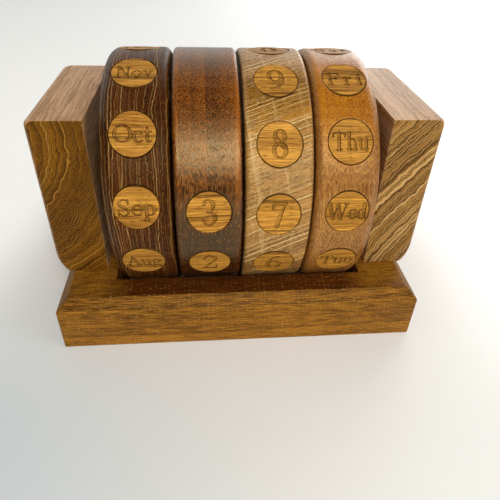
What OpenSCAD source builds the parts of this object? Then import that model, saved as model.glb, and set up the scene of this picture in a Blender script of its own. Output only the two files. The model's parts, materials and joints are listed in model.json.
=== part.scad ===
// Perpetual desk calendar: four wooden wheels with engraved plugs turn on one axle between two end blocks.
// The origin is on the table, under the middle of the axle. +X runs along the axle to the right,
// +Y away from the reader and +Z up.

/* [Base] */
// How far the outer faces of the end blocks stand past the ends of the base
block_overhang = 3.6; // [-10:0.1:8]
// Depth of the base from front to back
base_depth = 167.4; // [160:0.2:220]
// Thickness of the base board
base_height = 36.5; // [30:0.5:42]
// Chamfer around the top edge of the base
base_chamfer = 6.7; // [2:0.1:9]
// Small chamfer around the bottom edge of the base
base_foot_chamfer = 0.6; // [0.4:0.1:3]
// Gap between the wheels and the front and back walls of the slot, at the top of the base
slot_gap_front = 1.4; // [1:0.1:8]
// Gap between the outer wheels and the end walls of the slot
slot_gap_side = 1.6; // [1:0.1:6]

/* [End blocks] */
// Thickness of an end block along the axle
block_thickness = 31.7; // [24:0.1:36]
// Depth of an end block from front to back
block_depth = 101.4; // [80:0.2:130]
// Height of an end block above the base
block_height = 102; // [80:0.5:120]
// Radius of the outer upright edges of an end block
block_edge_radius = 4.2; // [2:0.2:10]
// Radius of the outer top edge of an end block
block_top_round = 4; // [0.5:0.1:8]
// Radius of the curve that tucks the outer face in above the base
block_tuck_radius = 24; // [20:1:40]
// How far the outer face is tucked in where it meets the base
block_tuck_depth = 4.2; // [1:0.2:6]
// Depth of the blind hole that holds an end of the axle
block_hole_depth = 18; // [12:0.5:22]

/* [Wheels] */
// Diameter of a wheel over its crest
wheel_diameter = 153.2; // [140:0.2:158]
// Width of a wheel
wheel_width = 38.1; // [34:0.1:44]
// Height of the axle above the table
axle_height = 85; // [80:0.5:92]
// Radius of the outer shoulder of the two outer wheels
outer_shoulder = 9; // [4:0.5:10]
// Radius of the inner shoulder of the two outer wheels
inner_shoulder = 4.5; // [2:0.5:8]
// Radius of both shoulders of the two inner wheels
middle_shoulder = 2.6; // [1:0.2:6]

/* [Axle] */
// Diameter of the axle
axle_diameter = 19; // [12:0.5:25]
// Gap between the axle and the bore of a wheel, on the radius
axle_running_gap = 0.08; // [0.05:0.01:0.1]
// Gap between the axle and the pieces fixed on it, on the radius
axle_fit_gap = 0.05; // [0.02:0.01:0.1]
// Thickness of the washers between the wheels
washer_thickness = 1; // [0.6:0.1:2]
// Diameter of the washers
washer_diameter = 36; // [30:1:50]
// Thickness of the spacer collars between the wheels and the end blocks
collar_thickness = 7.6; // [4:0.1:10]
// Diameter of the spacer collars
collar_diameter = 40; // [32:1:60]
// Gap between the side of a wheel and the washer or collar beside it
side_gap = 0.2; // [0.1:0.05:0.4]

/* [Plugs] */
// Diameter of a plug
plug_diameter = 25.4; // [20:0.2:28]
// Thickness of a plug
plug_thickness = 6.4; // [4:0.2:10]
// Gap between a plug and the wall of its hole, on the radius
plug_gap = 0.25; // [0.1:0.05:0.4]
// Depth of the middle of a plug's flat face below the crest of the wheel
plug_recess = 0.5; // [0:0.1:1]
// Chamfer around the face of a plug
plug_chamfer = 0.3; // [0.1:0.1:0.8]
// Elevation, seen from the front, of the row of plugs that shows the date
reading_angle = 37.4; // [30:0.2:44]
// Turn of each wheel off that row, left to right, as a hand leaves them
wheel_turns = [2.8, 0, -1.7, -0.8]; // [-5:0.1:5]

/* [Screws] */
// Length of a screw
screw_length = 60; // [50:1:70]
// Diameter of a screw's shank
screw_diameter = 4.2; // [3:0.1:5]
// Diameter of a screw's head
screw_head_diameter = 8.4; // [7:0.1:10]
// Distance from a block's middle to its screws, front and back
screw_offset = 32; // [20:1:36]
// Gap between a screw and its hole, on the radius
screw_gap = 0.1; // [0.05:0.05:0.3]
// Depth of a screw's head below the bottom of the base
screw_head_recess = 1; // [0.4:0.1:3]

/* [Hidden] */
$fn = 96;
overcut = 1;                                   // how far a cutting shape runs past the face it cuts
positions = 12;                                // label positions around a wheel
pitch_angle = 360 / positions;
wheel_radius = wheel_diameter / 2;
wheel_pitch = wheel_width + washer_thickness + 2 * side_gap;
wheel_count = 4;
stack_half = (wheel_count * wheel_width + (wheel_count - 1) * (washer_thickness + 2 * side_gap)) / 2;
block_inner = stack_half + side_gap + collar_thickness;
block_outer = block_inner + block_thickness;
base_length = 2 * (block_outer - block_overhang);
slot_half_length = stack_half + slot_gap_side;
chord_height = axle_height - base_height;      // height of the axle above the top of the base
slot_half_depth = sqrt(pow(wheel_radius, 2) - pow(chord_height, 2)) + slot_gap_front;
axle_end_gap = 0.3;                            // gap between an end of the axle and the floor of its hole
axle_length = 2 * (block_inner + block_hole_depth - axle_end_gap);
axle_end_chamfer = 1;
plug_face_radius = wheel_radius - plug_recess;
plug_floor_radius = plug_face_radius - plug_thickness;
screw_x = block_inner + block_thickness / 2 - 2;
screw_head_height = (screw_head_diameter - screw_diameter) / 2;
screw_tip_length = 1.6 * screw_diameter;
screw_slot_width = 1.2;                        // driving slot across a screw's head
screw_slot_depth = 1;

// Labels of each wheel, from the one that shows the date downward. A blank leaves the rim plain.
MONTH_LABELS = ["oct", "sep", "aug", "jul", "jun", "may", "apr", "mar", "feb", "jan", "dec", "nov"];
TENS_LABELS = ["", "ten_3", "ten_2", "ten_1", "", "", "", "", "", "", "", ""];
UNITS_LABELS = ["unit_8", "unit_7", "unit_6", "unit_5", "unit_4", "unit_3", "unit_2", "unit_1", "", "",
                "unit_0", "unit_9"];
WEEKDAY_LABELS = ["thu", "wed", "tue", "mon", "", "", "", "", "", "sun", "sat", "fri"];
WHEEL_LABELS = [MONTH_LABELS, TENS_LABELS, UNITS_LABELS, WEEKDAY_LABELS];

// X of the middle of a wheel, counted from the left
function wheel_x(index) = (index - (wheel_count - 1) / 2) * wheel_pitch;

// Elevation of a wheel's label position, counted downward from the reading row
function label_angle(index, position) = reading_angle + wheel_turns[index] - position * pitch_angle;

// ---------------------------------------------------------------- shared shapes

// A disc square to the axle, from x = start to the right, with an optional bore
module disc_on_axle(start, thickness, diameter, bore = 0) {
    translate([start, 0, axle_height])
        rotate([0, 90, 0])
            difference() {
                cylinder(h = thickness, d = diameter);
                if (bore > 0)
                    translate([0, 0, -overcut]) cylinder(h = thickness + 2 * overcut, d = bore);
            }
}

// Places its child, drawn along +Z, pointing out of a wheel's rim at one label position
module at_label(index, position) {
    translate([wheel_x(index), 0, axle_height])
        rotate([90 - label_angle(index, position), 0, 0])
            children();
}

// What is left outside a round corner of the given radius, for the corner that points to +X +Y
module corner_waste(radius) {
    difference() {
        square(radius + overcut);
        circle(r = radius);
    }
}

// ---------------------------------------------------------------- base

// Section of the base with chamfered top and bottom edges, between -half and +half
module base_section(half) {
    polygon([
        [-half + base_foot_chamfer, 0], [half - base_foot_chamfer, 0], [half, base_foot_chamfer],
        [half, base_height - base_chamfer], [half - base_chamfer, base_height],
        [-half + base_chamfer, base_height], [-half, base_height - base_chamfer],
        [-half, base_foot_chamfer]
    ]);
}

module base() {
    color("#8f5f2c")
        difference() {
            intersection() {
                translate([0, base_depth / 2, 0])
                    rotate([90, 0, 0])
                        linear_extrude(base_depth) base_section(base_length / 2);
                translate([-base_length / 2, 0, 0])
                    rotate([90, 0, 90])
                        linear_extrude(base_length) base_section(base_depth / 2);
            }
            translate([-slot_half_length, -slot_half_depth, -overcut])
                cube([2 * slot_half_length, 2 * slot_half_depth, base_height + 2 * overcut]);
            for (side = [-1, 1], end = [-1, 1])
                translate([side * screw_x, end * screw_offset, 0]) screw_shape(screw_gap, overcut);
        }
}

// ---------------------------------------------------------------- screws

// One countersunk wood screw from below, grown by a gap and, below its head, by an overcut
module screw_shape(gap = 0, below = 0) {
    head_radius = screw_head_diameter / 2 + gap;
    shank_radius = screw_diameter / 2 + gap;
    head_bottom = screw_head_recess;
    head_top = head_bottom + screw_head_height;
    tip_start = screw_head_recess + screw_length - screw_tip_length;
    if (below > 0)
        translate([0, 0, -below]) cylinder(h = head_bottom + below, r = head_radius);
    translate([0, 0, head_bottom]) cylinder(h = screw_head_height, r1 = head_radius, r2 = shank_radius);
    translate([0, 0, head_top]) cylinder(h = tip_start - head_top, r = shank_radius);
    translate([0, 0, tip_start]) cylinder(h = screw_tip_length, r1 = shank_radius, r2 = gap + 0.2);
}

module base_screws() {
    color("#b9a26a")
        for (side = [-1, 1], end = [-1, 1])
            translate([side * screw_x, end * screw_offset, 0])
                difference() {
                    screw_shape();
                    translate([-screw_head_diameter, -screw_slot_width / 2, 0])
                        cube([2 * screw_head_diameter, screw_slot_width, screw_head_recess + screw_slot_depth]);
                }
}

// ---------------------------------------------------------------- end blocks

// Plan of the right-hand block: the outer upright edges are round
module block_plan() {
    difference() {
        translate([block_inner, -block_depth / 2]) square([block_thickness, block_depth]);
        for (back = [0, 1])
            mirror([0, back])
                translate([block_outer - block_edge_radius, block_depth / 2 - block_edge_radius])
                    corner_waste(block_edge_radius);
    }
}

// Front view of the right-hand block: the outer face tucks in above the base along an arc
module block_front() {
    tuck_height = sqrt(pow(block_tuck_radius, 2) - pow(block_tuck_radius - block_tuck_depth, 2));
    difference() {
        translate([block_inner, base_height]) square([block_thickness, block_height]);
        translate([block_outer - block_top_round, base_height + block_height - block_top_round])
            corner_waste(block_top_round);
        difference() {
            translate([block_outer - block_tuck_depth - overcut, base_height - overcut])
                square([block_tuck_depth + 2 * overcut, tuck_height + overcut]);
            translate([block_outer - block_tuck_radius, base_height + tuck_height])
                circle(r = block_tuck_radius);
        }
    }
}

module end_block() {
    difference() {
        intersection() {
            translate([0, 0, base_height]) linear_extrude(block_height) block_plan();
            translate([0, block_depth / 2, 0])
                rotate([90, 0, 0])
                    linear_extrude(block_depth) block_front();
        }
        disc_on_axle(block_inner - overcut, block_hole_depth + overcut, axle_diameter + 2 * axle_fit_gap);
        for (end = [-1, 1])
            translate([screw_x, end * screw_offset, 0]) screw_shape(screw_gap);
    }
}

module end_block_left() {
    color("#8a7038") mirror([1, 0, 0]) end_block();
}

module end_block_right() {
    color("#8a7038") end_block();
}

// ---------------------------------------------------------------- axle, collars and washers

module axle() {
    straight = axle_length / 2 - axle_end_chamfer;
    color("#c9a26b")
        translate([0, 0, axle_height])
            rotate([0, 90, 0]) {
                translate([0, 0, -straight]) cylinder(h = 2 * straight, d = axle_diameter);
                for (end = [0, 1])
                    mirror([0, 0, end])
                        translate([0, 0, straight])
                            cylinder(h = axle_end_chamfer, d1 = axle_diameter,
                                     d2 = axle_diameter - 2 * axle_end_chamfer);
            }
}

module collar(start) {
    color("#6b4a2a")
        disc_on_axle(start, collar_thickness, collar_diameter, axle_diameter + 2 * axle_fit_gap);
}

module collar_left() {
    collar(-block_inner);
}

module collar_right() {
    collar(block_inner - collar_thickness);
}

// A washer to the right of the wheel with the given index
module washer(index) {
    color("#e6dfcf")
        disc_on_axle(wheel_x(index) + wheel_width / 2 + side_gap, washer_thickness, washer_diameter,
                     axle_diameter + 2 * axle_fit_gap);
}

module washer_left() {
    washer(0);
}

module washer_middle() {
    washer(1);
}

module washer_right() {
    washer(2);
}

// ---------------------------------------------------------------- wheels

// Half section of a wheel: radius along +X, width along Y, from the middle of the wheel
module wheel_section(left_shoulder, right_shoulder) {
    bore_radius = axle_diameter / 2 + axle_running_gap;
    difference() {
        translate([bore_radius, -wheel_width / 2]) square([wheel_radius - bore_radius, wheel_width]);
        translate([wheel_radius - right_shoulder, wheel_width / 2 - right_shoulder])
            corner_waste(right_shoulder);
        mirror([0, 1])
            translate([wheel_radius - left_shoulder, wheel_width / 2 - left_shoulder])
                corner_waste(left_shoulder);
    }
}

// A wheel with a flat-bottomed hole for each of its labels
module wheel(index, left_shoulder, right_shoulder) {
    labels = WHEEL_LABELS[index];
    difference() {
        translate([wheel_x(index), 0, axle_height])
            rotate([0, 90, 0])
                rotate_extrude() wheel_section(left_shoulder, right_shoulder);
        for (position = [0:positions - 1])
            if (labels[position] != "")
                at_label(index, position)
                    translate([0, 0, plug_floor_radius])
                        cylinder(h = plug_thickness + plug_recess + overcut,
                                 r = plug_diameter / 2 + plug_gap);
    }
}

module month_wheel() {
    color("#3a2418") wheel(0, outer_shoulder, inner_shoulder);
}

module tens_wheel() {
    color("#4d2c22") wheel(1, middle_shoulder, middle_shoulder);
}

module units_wheel() {
    color("#b98a55") wheel(2, middle_shoulder, middle_shoulder);
}

module weekday_wheel() {
    color("#8a5230") wheel(3, inner_shoulder, outer_shoulder);
}

// ---------------------------------------------------------------- plugs

// The plug that carries a label, on whichever wheel has it
module plug(label) {
    color("#c8893c")
        for (index = [0:wheel_count - 1], position = [0:positions - 1])
            if (WHEEL_LABELS[index][position] == label)
                at_label(index, position)
                    translate([0, 0, plug_floor_radius]) {
                        cylinder(h = plug_thickness - plug_chamfer, d = plug_diameter);
                        translate([0, 0, plug_thickness - plug_chamfer])
                            cylinder(h = plug_chamfer, d1 = plug_diameter,
                                     d2 = plug_diameter - 2 * plug_chamfer);
                    }
}

base();
end_block_left();
end_block_right();
axle();
collar_left();
collar_right();
washer_left();
washer_middle();
washer_right();
base_screws();
month_wheel();
tens_wheel();
units_wheel();
weekday_wheel();
plug("jan");  // plug_jan
plug("feb");  // plug_feb
plug("mar");  // plug_mar
plug("apr");  // plug_apr
plug("may");  // plug_may
plug("jun");  // plug_jun
plug("jul");  // plug_jul
plug("aug");  // plug_aug
plug("sep");  // plug_sep
plug("oct");  // plug_oct
plug("nov");  // plug_nov
plug("dec");  // plug_dec
plug("ten_1");  // plug_ten_1
plug("ten_2");  // plug_ten_2
plug("ten_3");  // plug_ten_3
plug("unit_0");  // plug_unit_0
plug("unit_1");  // plug_unit_1
plug("unit_2");  // plug_unit_2
plug("unit_3");  // plug_unit_3
plug("unit_4");  // plug_unit_4
plug("unit_5");  // plug_unit_5
plug("unit_6");  // plug_unit_6
plug("unit_7");  // plug_unit_7
plug("unit_8");  // plug_unit_8
plug("unit_9");  // plug_unit_9
plug("sun");  // plug_sun
plug("mon");  // plug_mon
plug("tue");  // plug_tue
plug("wed");  // plug_wed
plug("thu");  // plug_thu
plug("fri");  // plug_fri
plug("sat");  // plug_sat
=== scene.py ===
"""Perpetual desk calendar: finishes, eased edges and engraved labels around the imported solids.

Lengths in the classes are millimetres. A mesh is turned into metres when it is made.
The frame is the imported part's: +X along the axle to the right, +Y away from the reader, +Z up.
"""

import json
import logging
import math
from collections.abc import Callable
from dataclasses import dataclass, field
from enum import Enum
from functools import cache, partialmethod
from inspect import signature

import bmesh
import bpy
import numpy as np
from mathutils import Matrix, Vector


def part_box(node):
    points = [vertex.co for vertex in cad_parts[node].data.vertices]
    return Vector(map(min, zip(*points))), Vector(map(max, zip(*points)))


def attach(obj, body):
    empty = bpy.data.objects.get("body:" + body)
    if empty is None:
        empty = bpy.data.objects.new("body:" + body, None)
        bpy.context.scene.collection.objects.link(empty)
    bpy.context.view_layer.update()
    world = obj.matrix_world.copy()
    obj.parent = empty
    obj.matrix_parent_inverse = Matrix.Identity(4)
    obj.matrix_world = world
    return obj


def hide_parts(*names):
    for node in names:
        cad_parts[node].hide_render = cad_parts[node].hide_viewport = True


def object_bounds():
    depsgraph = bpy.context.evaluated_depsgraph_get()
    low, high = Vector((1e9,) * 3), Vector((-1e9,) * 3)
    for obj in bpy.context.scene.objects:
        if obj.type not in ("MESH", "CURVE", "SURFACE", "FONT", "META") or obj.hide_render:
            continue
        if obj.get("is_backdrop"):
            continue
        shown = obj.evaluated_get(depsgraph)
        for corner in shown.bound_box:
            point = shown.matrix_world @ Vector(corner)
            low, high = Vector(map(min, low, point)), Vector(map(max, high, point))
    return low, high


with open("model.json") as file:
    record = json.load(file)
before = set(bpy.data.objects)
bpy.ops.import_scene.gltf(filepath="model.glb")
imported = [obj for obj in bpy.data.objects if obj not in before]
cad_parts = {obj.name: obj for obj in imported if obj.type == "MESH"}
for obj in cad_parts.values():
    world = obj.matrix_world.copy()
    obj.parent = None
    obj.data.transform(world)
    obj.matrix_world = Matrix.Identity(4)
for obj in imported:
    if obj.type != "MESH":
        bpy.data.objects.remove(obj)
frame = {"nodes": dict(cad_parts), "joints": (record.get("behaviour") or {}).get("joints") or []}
CAD_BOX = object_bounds()
LOG = logging.getLogger("desk_calendar")
MM = 0.001
AXLE_HEIGHT = frame["joints"][0]["pos_m"][2] / MM
SHARP_ANGLE = math.radians(32)
WELD_DISTANCE = 2e-6
HOLE_STEPS = 64
ARC_STEPS = 6
SIDE_STEPS = 8
EASE_STEPS = 5
BEND_STEPS = 5
Piece = bpy.types.Object
Triple = tuple[float, float, float]


# ---------------------------------------------------------------- meshes

def add_object(name: str, data: bpy.types.ID) -> Piece:
    """Makes an object of the data and links it to the scene."""
    made = bpy.data.objects.new(name, data)
    bpy.context.scene.collection.objects.link(made)
    return made


def box_of(node: str) -> list[np.ndarray]:
    """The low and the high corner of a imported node, in millimetres."""
    return [np.array(corner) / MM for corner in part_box(node)]


def points_of(mesh: bpy.types.Mesh) -> np.ndarray:
    """A mesh's points in millimetres, as an array of shape (points, 3)."""
    points = np.empty(len(mesh.vertices) * 3)
    mesh.vertices.foreach_get("co", points)
    return points.reshape(-1, 3) / MM


@dataclass
class Draft:
    """A mesh in the making: points in millimetres, a number for each, and the faces between them."""

    points: list = field(default_factory=list)
    values: list = field(default_factory=list)
    quads: list = field(default_factory=lambda: [np.empty((0, 4), int)])
    triangles: list = field(default_factory=lambda: [np.empty((0, 3), int)])
    count: int = 0

    def add_points(self, points: np.ndarray, values: np.ndarray | float = 0.0) -> int:
        """Adds points.

        Args:
            points: Array of any shape whose last axis is x, y, z.
            values: One number for each point, such as how deep it lies in an engraving.

        Returns:
            Index of the first new point.
        """
        flat = np.asarray(points, float).reshape(-1, 3)
        self.points.append(flat)
        self.values.append(np.broadcast_to(np.asarray(values, float).ravel(), (len(flat),)))
        self.count += len(flat)
        return self.count - len(flat)

    def add_grid(self, points: np.ndarray, closed: bool = False, values: np.ndarray | float = 0.0,
                 caps: tuple[int, ...] = ()) -> None:
        """Adds a grid of quads. Face (i, j) joins (i, j), (i, j+1), (i+1, j+1) and (i+1, j).

        Args:
            points: Array of shape (rows, columns, 3).
            closed: Joins the last column to the first.
            values: One number for each point.
            caps: Rows that a fan of triangles to their middle closes.
        """
        rows, columns = points.shape[:2]
        index = self.add_points(points, values) + np.arange(rows * columns).reshape(rows, columns)
        right = np.roll(index, -1, axis=1)
        if not closed:
            index, right = index[:, :-1], right[:, :-1]
        self.quads.append(np.stack([index[:-1], right[:-1], right[1:], index[1:]], axis=-1).reshape(-1, 4))
        for row in caps:
            ring = self.add_points(points[row]) + np.arange(columns)
            middle = np.full(columns, self.add_points(points[row].mean(axis=0)))
            self.triangles.append(np.stack([ring, np.roll(ring, -1), middle], axis=-1))

    def build(self, name: str) -> Piece:
        """Makes the object, in metres, with its numbers in the attribute "cut".

        Args:
            name: The piece's name.

        Returns:
            The new object.
        """
        quads, triangles = np.concatenate(self.quads), np.concatenate(self.triangles)
        corners = np.concatenate([quads.ravel(), triangles.ravel()])
        totals = np.repeat([4, 3], [len(quads), len(triangles)])
        mesh = bpy.data.meshes.new(name)
        mesh.vertices.add(self.count)
        mesh.vertices.foreach_set("co", (np.concatenate(self.points) * MM).astype(np.float32).ravel())
        mesh.loops.add(len(corners))
        mesh.loops.foreach_set("vertex_index", corners.astype(np.int32))
        mesh.polygons.add(len(totals))
        mesh.polygons.foreach_set("loop_start", (np.cumsum(totals) - totals).astype(np.int32))
        mesh.attributes.new("cut", "FLOAT", "POINT")
        mesh.attributes["cut"].data.foreach_set("value", np.concatenate(self.values).astype(np.float32))
        mesh.update(calc_edges=True)
        tidy_mesh(mesh)
        return add_object(name, mesh)


def tidy_mesh(mesh: bpy.types.Mesh) -> None:
    """Welds a closed mesh, turns its faces outward and shades it smooth between its sharp edges.

    Args:
        mesh: The mesh to change.
    """
    work = bmesh.new()
    work.from_mesh(mesh)
    bmesh.ops.remove_doubles(work, verts=work.verts, dist=WELD_DISTANCE)
    bmesh.ops.dissolve_degenerate(work, edges=work.edges, dist=WELD_DISTANCE / 4)
    bmesh.ops.recalc_face_normals(work, faces=work.faces)
    work.to_mesh(mesh)
    work.free()
    mesh.shade_smooth()
    mesh.set_sharp_from_angle(angle=SHARP_ANGLE)


def drill(piece: Piece, profile: list[tuple[float, float]], origin: Triple, along: str = "Z") -> None:
    """Cuts a turned solid out: P(s, t) = origin + r(s) (cos t, sin t) across the line + h(s) along it.

    Args:
        piece: The piece to drill.
        profile: Radius and height of the solid's outline, from one end to the other.
        origin: Where height 0 lies.
        along: "X" or "Z", the line's direction.
    """
    angle = np.linspace(0, 2 * math.pi, HOLE_STEPS, endpoint=False)
    radius, height = np.array(profile).T[..., None]
    side, rise, level = np.broadcast_arrays(radius * np.cos(angle), radius * np.sin(angle), height)
    axes = (level, side, rise) if along == "X" else (side, rise, level)
    draft = Draft()
    draft.add_grid(np.stack(axes, axis=-1) + np.array(origin), closed=True, caps=(0, -1))
    cutter = draft.build("cutter")
    cut = piece.modifiers.new("drill", "BOOLEAN")
    cut.operation, cut.solver, cut.object = "DIFFERENCE", "EXACT", cutter
    result = bpy.data.meshes.new_from_object(piece.evaluated_get(bpy.context.evaluated_depsgraph_get()))
    piece.modifiers.remove(cut)
    piece.data = result
    bpy.data.objects.remove(cutter)
    tidy_mesh(result)


def rounded_outline(half_x: float, half_y: float, radii: tuple[float, ...], z: float,
                    middle: float = 0.0) -> np.ndarray:
    """Points round a level rectangle whose corners are arcs, the same number for any size.

    A corner is centre + r (cos t, sin t) with t over its quarter turn, and each side is split evenly.

    Args:
        half_x: Half the length along X.
        half_y: Half the length along Y.
        radii: Corner radii, for the corners (+, +), (-, +), (-, -) and (+, -).
        z: Its height.
        middle: X of its middle.

    Returns:
        Array of shape (columns, 3).
    """
    arcs = []
    for quarter, (radius, x, y) in enumerate(zip(radii, (1, -1, -1, 1), (1, 1, -1, -1))):
        turn = (quarter + np.linspace(0, 1, ARC_STEPS + 1)) * math.pi / 2
        centre = np.array([middle + x * (half_x - radius), y * (half_y - radius), z])
        arcs.append(centre + radius * np.stack([np.cos(turn), np.sin(turn), 0 * turn], axis=-1))
    blend = np.linspace(0, 1, SIDE_STEPS + 1)[1:-1, None]
    sides = [this[-1] * (1 - blend) + after[0] * blend for this, after in zip(arcs, arcs[1:] + arcs[:1])]
    return np.concatenate([part for pair in zip(arcs, sides) for part in pair])


def eased(corners: list[tuple[float, float]], radii: list[float]) -> np.ndarray:
    """An open profile whose inner corners are rounded.

    Each corner P becomes the quadratic curve (1-t)^2 A + 2t(1-t) P + t^2 B, where A and B lie at the
    corner's radius along its two sides.

    Args:
        corners: The profile's points.
        radii: How far the rounding reaches from each corner, 0 at the two ends.

    Returns:
        Array of shape (points, 2).
    """
    points = np.array(corners, float)
    parts = [points[:1]]
    t = np.linspace(0, 1, EASE_STEPS + 1)[:, None]
    for before, corner, after, reach in zip(points, points[1:], points[2:], radii[1:]):
        a, b = (corner + (end - corner) / np.linalg.norm(end - corner) * reach for end in (before, after))
        parts.append((1 - t) ** 2 * a + 2 * t * (1 - t) * corner + t ** 2 * b)
    return np.concatenate([*parts, points[-1:]])


# ---------------------------------------------------------------- shader nodes

class Value:
    """A socket in a formula: arithmetic on it adds Math nodes, or Vector Math nodes if it is a vector."""

    def __init__(self, graph: "Graph", socket: bpy.types.NodeSocket) -> None:
        """Keeps the socket and the graph that it is in."""
        self.graph, self.socket = graph, socket

    def apply(self, operation: str, other: object = 0.0, clamp: bool = False, swap: bool = False) -> "Value":
        """Adds an operation on this value and another.

        Args:
            operation: Blender's name for it.
            other: A value, a number or a vector.
            clamp: Keeps a number's result within 0 to 1.
            swap: Puts the other first.

        Returns:
            The result.
        """
        if self.socket.type == "VECTOR":
            other = (other,) * 3 if isinstance(other, (int, float)) else other
            output = "Value" if operation in ("DOT_PRODUCT", "LENGTH") else "Vector"
            return self.graph.node("ShaderNodeVectorMath", {0: self, 1: other}, output, operation=operation)
        pair = (other, self) if swap else (self, other)
        return self.graph.node("ShaderNodeMath", dict(enumerate(pair)), operation=operation, use_clamp=clamp)

    __add__ = __radd__ = partialmethod(apply, "ADD")
    __mul__ = __rmul__ = partialmethod(apply, "MULTIPLY")
    __sub__ = partialmethod(apply, "SUBTRACT")
    __rsub__ = partialmethod(apply, "SUBTRACT", swap=True)
    __truediv__ = partialmethod(apply, "DIVIDE")
    __abs__ = partialmethod(apply, "ABSOLUTE")

    def ramp(self, low: object, high: object) -> "Value":
        """A smooth step from 0 where this value is low to 1 where it is high."""
        inputs = {"Value": self, "From Min": low, "From Max": high}
        return self.graph.node("ShaderNodeMapRange", inputs, "Result", interpolation_type="SMOOTHSTEP")

    def mix(self, a: object, b: object) -> "Value":
        """The colour a where this value is 0 and b where it is 1."""
        return self.graph.node("ShaderNodeMix", {0: self, 6: a, 7: b}, 2, data_type="RGBA")

    def noise(self, detail: float = 2.0, roughness: float = 0.5, distortion: float = 0.0) -> "Value":
        """A Noise Texture of scale 1 at this place."""
        inputs = {"Vector": self, "Scale": 1.0, "Detail": detail, "Roughness": roughness, "Distortion": distortion}
        return self.graph.node("ShaderNodeTexNoise", inputs, "Fac")

    def split(self) -> "tuple[Value, ...]":
        """The three components of this vector."""
        return self.graph.node("ShaderNodeSeparateXYZ", {0: self}, (0, 1, 2))


class Graph:
    """Adds nodes to one node tree and links them."""

    def __init__(self, tree: bpy.types.NodeTree) -> None:
        """Keeps the tree that the nodes go into."""
        self.tree = tree

    def feed(self, node: bpy.types.Node, inputs: dict) -> None:
        """Links inputs to values and sets the others.

        Args:
            node: The node to feed.
            inputs: Input name or number to a Value, a number, a colour or a vector.
        """
        for name, value in inputs.items():
            if isinstance(value, Value):
                self.tree.links.new(value.socket, node.inputs[name])
            else:
                node.inputs[name].default_value = value

    def node(self, kind: str, inputs: dict | None = None, output: object = 0, **settings) -> object:
        """Adds a node.

        Args:
            kind: Blender's node type.
            inputs: What feeds its inputs.
            output: Name or number of the output that is wanted, or a tuple of them.
            settings: The node's own properties.

        Returns:
            The output as a Value, or a tuple of them.
        """
        made = self.tree.nodes.new(kind)
        for name, value in settings.items():
            setattr(made, name, value)
        self.feed(made, inputs or {})
        if isinstance(output, tuple):
            return tuple(Value(self, made.outputs[name]) for name in output)
        return Value(self, made.outputs[output])

    def combine(self, *parts: object) -> Value:
        """A vector made of three values or numbers."""
        return self.node("ShaderNodeCombineXYZ", dict(enumerate(parts)))

    def place(self, output: str = "Object") -> Value:
        """An output of Texture Coordinate."""
        return self.node("ShaderNodeTexCoord", output=output)

    def group(self, name: str, source: object = None, **inputs: object) -> tuple[Value, ...]:
        """Adds one of the shared groups.

        Args:
            name: Its name in GROUPS.
            source: An object whose fields feed the inputs of the same name.
            inputs: What feeds other inputs.

        Returns:
            The group's outputs.
        """
        sockets = GROUPS[name].interface.items_tree
        fields = {item.name: getattr(source, item.name) for item in sockets
                  if item.in_out == "INPUT" and hasattr(source, item.name)}
        outputs = tuple(item.name for item in sockets if item.in_out == "OUTPUT")
        return self.node("ShaderNodeGroup", fields | inputs, outputs, node_tree=GROUPS[name])


def new_group(formula: Callable, outputs: tuple[str, ...], kind: str = "NodeSocketFloat") -> bpy.types.NodeTree:
    """Builds a shader node group whose inputs are named after the formula's parameters.

    Args:
        formula: Turns the graph and the inputs into a list of the outputs. The group has its name.
        outputs: Output names.
        kind: The outputs' socket type.

    Returns:
        The group.
    """
    tree = bpy.data.node_groups.new(formula.__name__, "ShaderNodeTree")
    names = list(signature(formula).parameters)[1:]
    for name in names:
        own = "NodeSocketVector" if name in VECTOR_INPUTS else "NodeSocketFloat"
        tree.interface.new_socket(name, in_out="INPUT", socket_type=own)
    for name in outputs:
        tree.interface.new_socket(name, in_out="OUTPUT", socket_type=kind)
    entry, leave = tree.nodes.new("NodeGroupInput"), tree.nodes.new("NodeGroupOutput")
    graph = Graph(tree)
    results = formula(graph, *(Value(graph, entry.outputs[name]) for name in names))
    graph.feed(leave, dict(zip(outputs, results)))
    return tree


def board_space(graph: Graph, along: Value, across: Value, layers: Value, heart: Value) -> list[Value]:
    """Object coordinates in millimetres, turned to a board: x along the fibres, z across the growth layers.

    B = (p . along, p . across, p . layers), with p = 1000 (object coordinates) - heart.
    """
    place = graph.place() * 1000 - heart
    return [graph.combine(*(place.apply("DOT_PRODUCT", axis) for axis in (along, across, layers)))]


def growth_layers(graph: Graph, board: Value, ring: Value, spacing: Value, wander: Value, reach: Value,
                  ripple: Value, ripple_reach: Value, uneven: Value, width: Value, seed: Value) -> list[Value]:
    """Growth layers: the layer rises from 0 to 1 across each one, with a line on each side of its start.

    d = sqrt(y^2 + (z + ring)^2) - ring + 2 wander (n1 - 1/2) + 2 ripple (n2 - 1/2), with n1 and n2 noise
    of reach and ripple reach across the fibres and three times that along them;
    phase = d / spacing + 2 uneven (n3(d / spacing) - 1/2); layer = frac(phase);
    early = 1 - smoothstep(0, width / spacing, layer) and late the same for 1 - layer.
    """
    _, y, z = board.split()
    depth = graph.combine(0.0, y, z + ring).apply("LENGTH") - ring
    for amount, span in ((wander, reach), (ripple, ripple_reach)):
        place = board / graph.combine(span * 3.0, span, span) + graph.combine(seed, 0.0, 0.0)
        depth = depth + (place.noise(1.0) - 0.5) * amount * 2.0
    phase = depth / spacing
    phase = phase + (graph.combine(phase * 0.6, seed, 0.0).noise(1.0) - 0.5) * uneven * 2.0
    layer, edge = phase.apply("FRACT"), width / spacing
    cell = graph.combine(phase.apply("FLOOR"), seed, 0.5)
    tint = graph.node("ShaderNodeTexWhiteNoise", {"Vector": cell}, "Value", noise_dimensions="3D")
    return [layer, tint, 1.0 - layer.ramp(0.0, edge), layer.ramp(1.0 - edge, 1.0)]


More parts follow.
